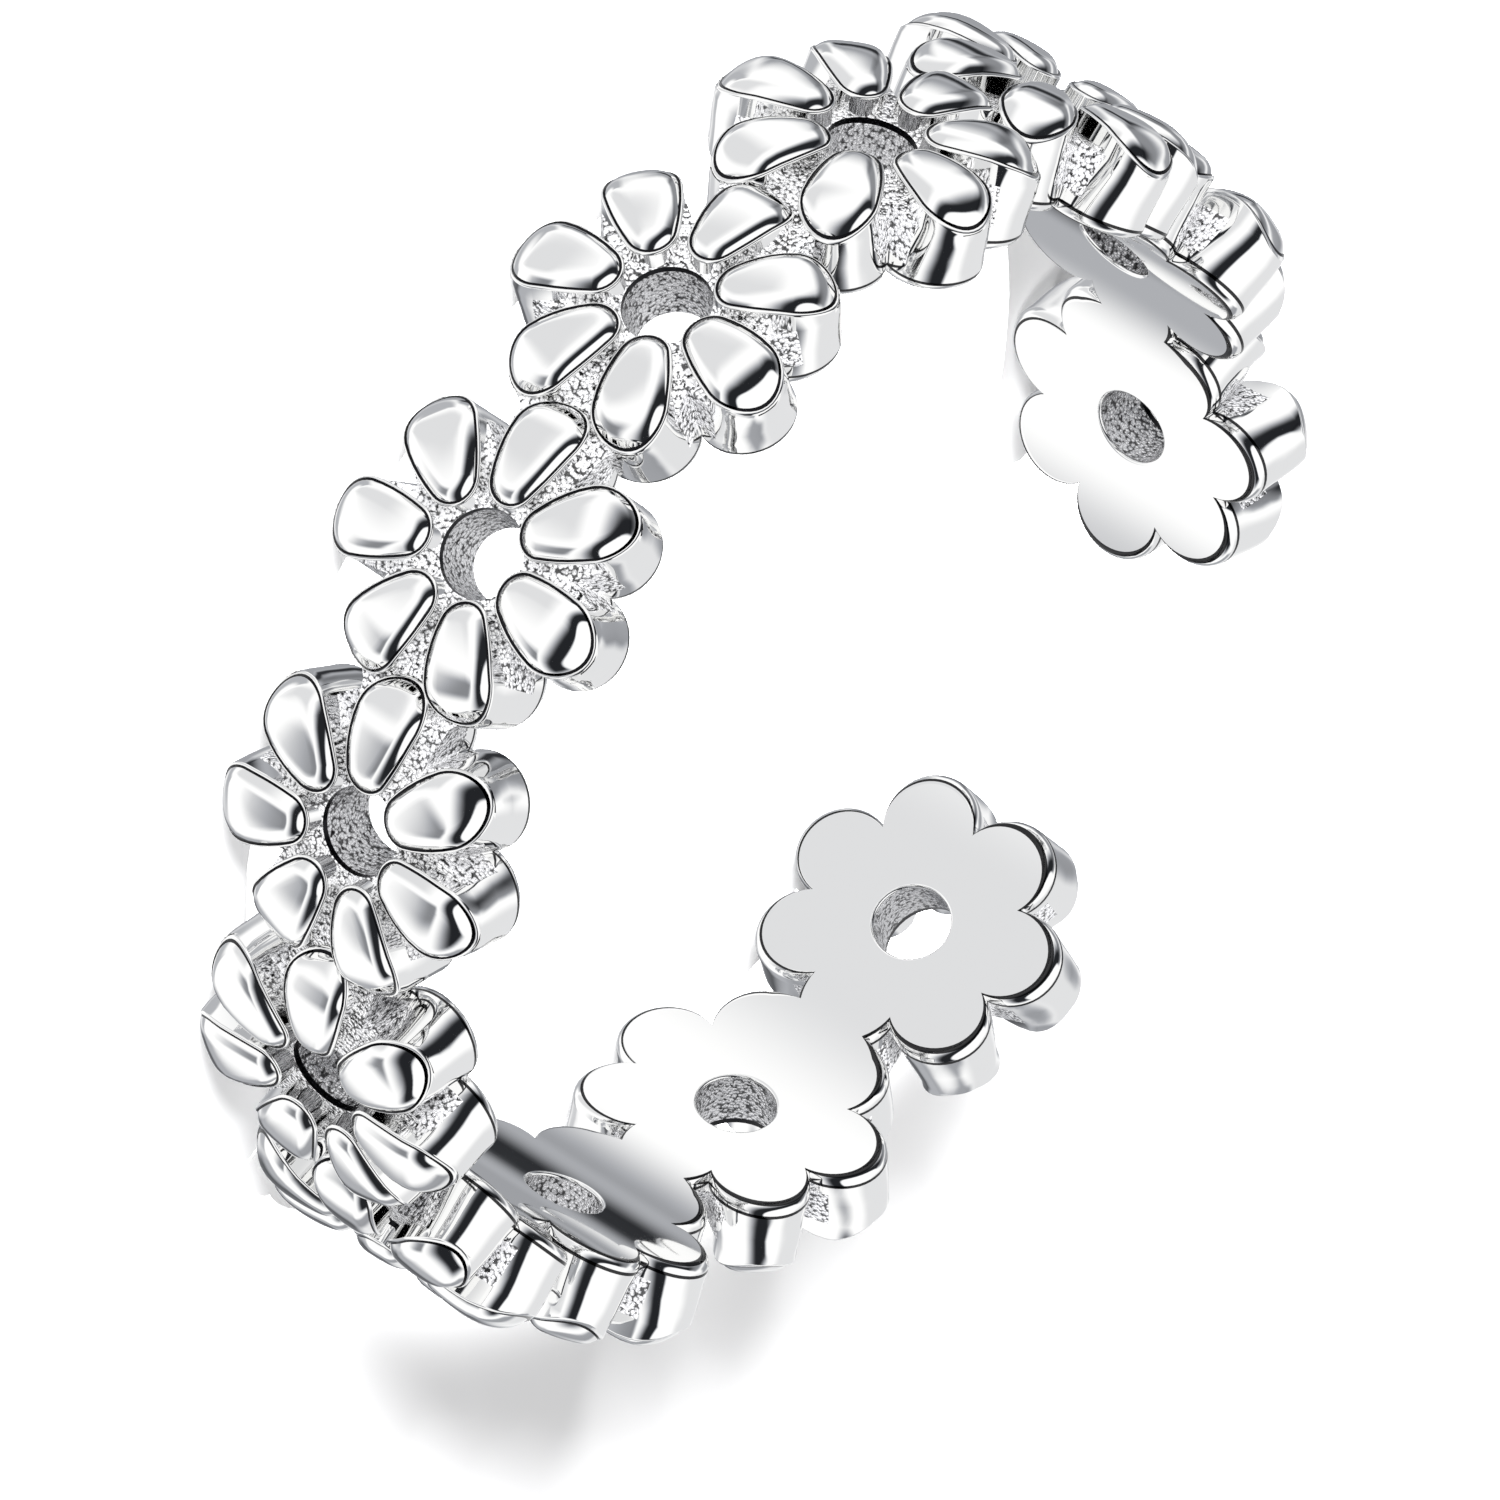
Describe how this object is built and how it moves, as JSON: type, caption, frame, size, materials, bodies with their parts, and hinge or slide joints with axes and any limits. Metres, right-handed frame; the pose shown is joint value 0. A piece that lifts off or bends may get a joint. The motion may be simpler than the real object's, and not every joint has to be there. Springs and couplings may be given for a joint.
{
  "type": "toe ring",
  "caption": "Open toe ring: one cast silver band of linked daisies with raised domed petals, pierced centres, a thin scalloped plate and a smooth bore.",
  "frame": {"origin": "centre of the bore, midway across the band's width", "axes": "+Z along the bore, out of the toe hole; +Y towards the opening between the band's two ends; -Y is the middle of the daisy chain"},
  "size_m": [0.0184, 0.018, 0.0044],
  "materials": {
    "silver": "mirror-polished petals, rims and bore; matt grained recesses between the petals and in the holes"
  },
  "bodies": {
    "root": {"daisy_band": "silver"}
  },
  "joints": []
}
